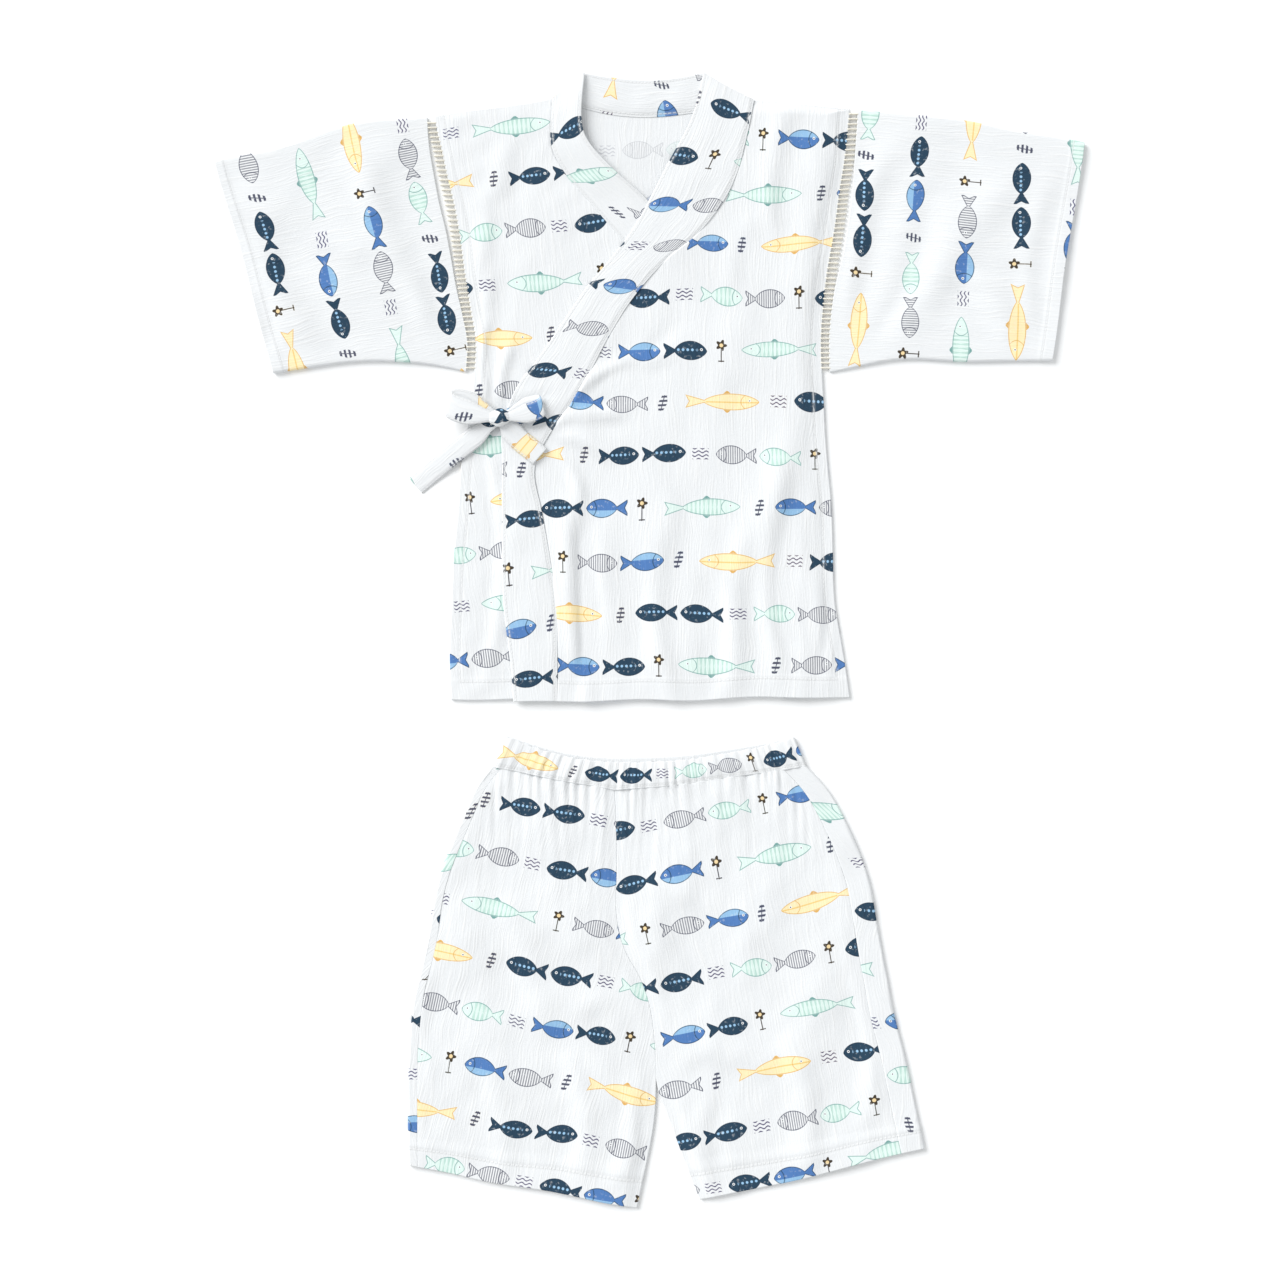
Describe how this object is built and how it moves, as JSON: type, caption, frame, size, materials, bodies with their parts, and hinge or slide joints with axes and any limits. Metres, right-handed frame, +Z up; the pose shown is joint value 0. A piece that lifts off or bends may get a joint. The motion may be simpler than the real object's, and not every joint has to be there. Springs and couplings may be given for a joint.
{
  "type": "jinbei set",
  "caption": "Child's jinbei laid flat: a wrap-front jacket with open-laced sleeves, tied in a bow at the side, above elastic-waisted shorts.",
  "frame": {"origin": "middle of the whole layout, on the surface that it lies on", "axes": "+Z up from the surface, +Y from the shorts towards the jacket's neck, +X towards the wearer's left sleeve"},
  "size_m": [0.6952, 0.909, 0.0149],
  "materials": {
    "cloth": "matt printed cotton double gauze",
    "lace_thread": "matt cotton lace thread"
  },
  "bodies": {
    "root": {"jacket_back": "cloth", "jacket_front_under": "cloth", "jacket_front_over": "cloth", "collar_over": "cloth", "collar_under": "cloth", "collar_neck": "cloth", "sleeve_left": "cloth", "sleeve_right": "cloth", "lacing_left_front": "lace_thread", "lacing_left_back": "lace_thread", "lacing_right_front": "lace_thread", "lacing_right_back": "lace_thread", "bow_knot": "cloth", "bow_loop_left": "cloth", "bow_loop_right": "cloth", "bow_tail_left": "cloth", "bow_tail_right": "cloth", "shorts_back_left": "cloth", "shorts_front_left": "cloth", "shorts_back_right": "cloth", "shorts_front_right": "cloth", "waistband": "cloth"}
  },
  "joints": []
}
